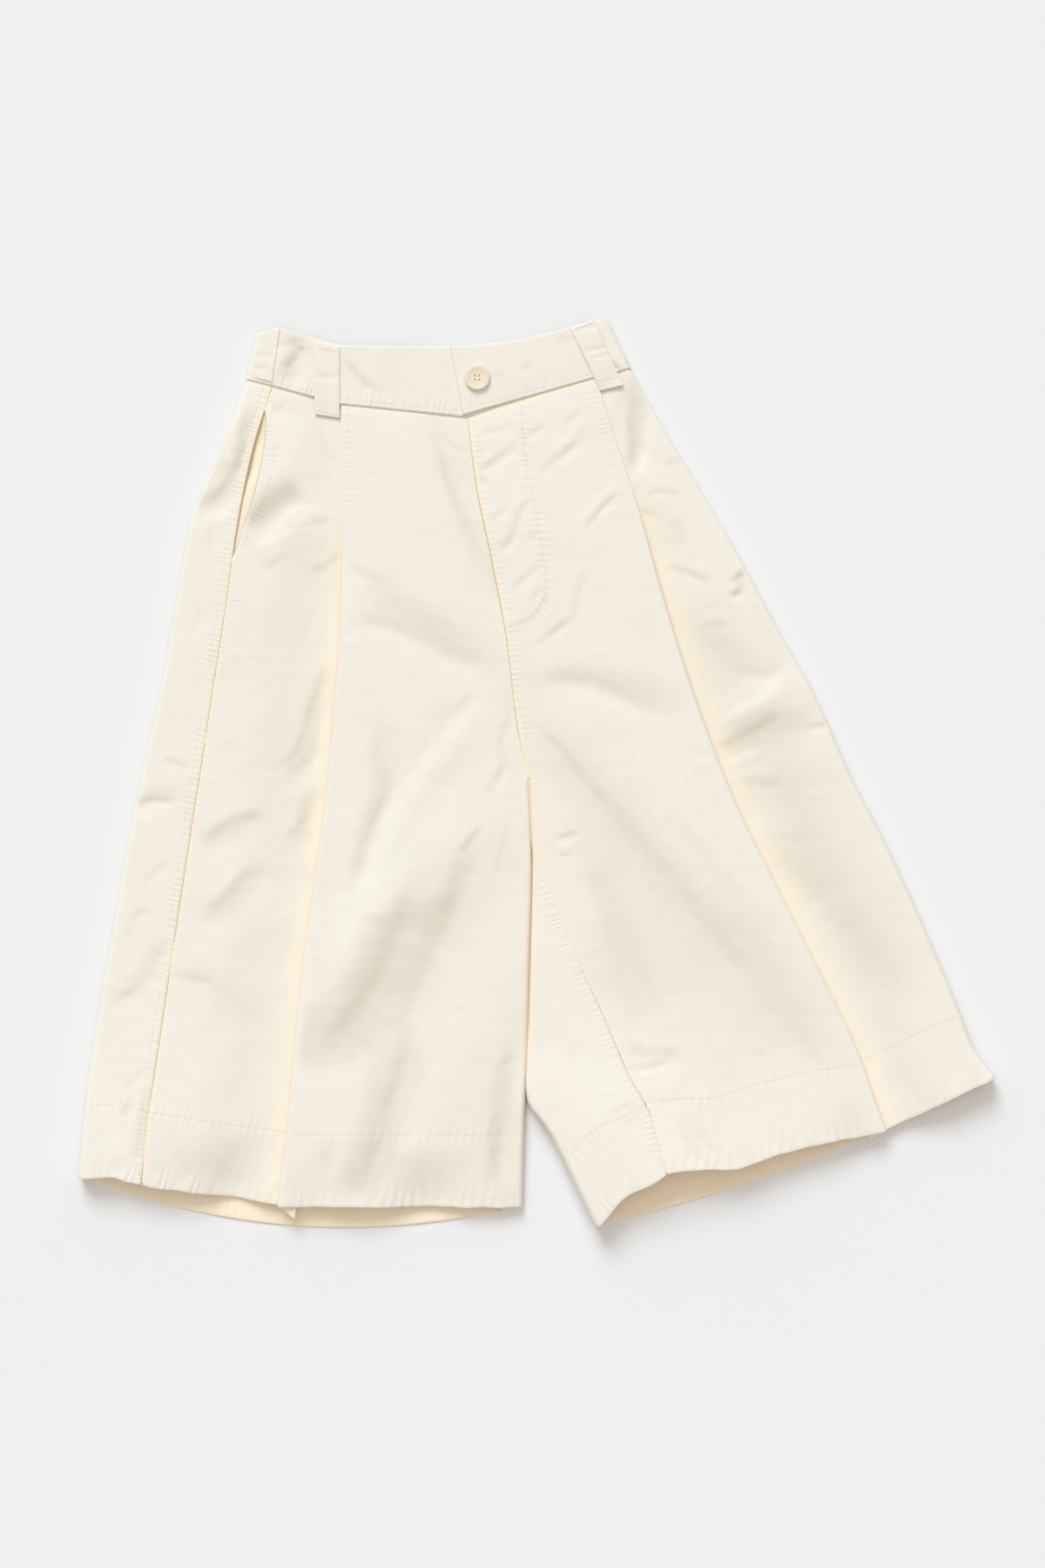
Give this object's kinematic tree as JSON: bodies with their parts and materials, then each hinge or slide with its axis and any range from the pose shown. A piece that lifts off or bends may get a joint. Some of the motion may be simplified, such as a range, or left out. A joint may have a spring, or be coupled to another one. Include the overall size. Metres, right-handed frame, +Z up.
{
  "type": "work shorts",
  "caption": "Wide-leg pleated cotton shorts lying flat on their back, front up, with a buttoned waistband, stitched fly, belt loops, side pockets and deep hems",
  "frame": {"origin": "Middle of the garment's outline as it lies, on the surface that it lies on", "axes": "+Z up, out of the surface; +Y from the hems to the waist; +X to the wearer's left, which is the viewer's right"},
  "size_m": [0.7911, 0.7835, 0.0306],
  "materials": {
    "cream_cotton": "matte, brushed twill",
    "cream_button": "soft gloss, slightly mottled"
  },
  "bodies": {
    "root": {"front_right": "cream_cotton", "front_left": "cream_cotton", "back_right": "cream_cotton", "back_left": "cream_cotton", "band_front_right": "cream_cotton", "band_front_left": "cream_cotton", "band_back": "cream_cotton", "fly": "cream_cotton", "pocket_facing": "cream_cotton", "belt_loop_right": "cream_cotton", "belt_loop_left": "cream_cotton", "button": "cream_button"}
  },
  "joints": []
}
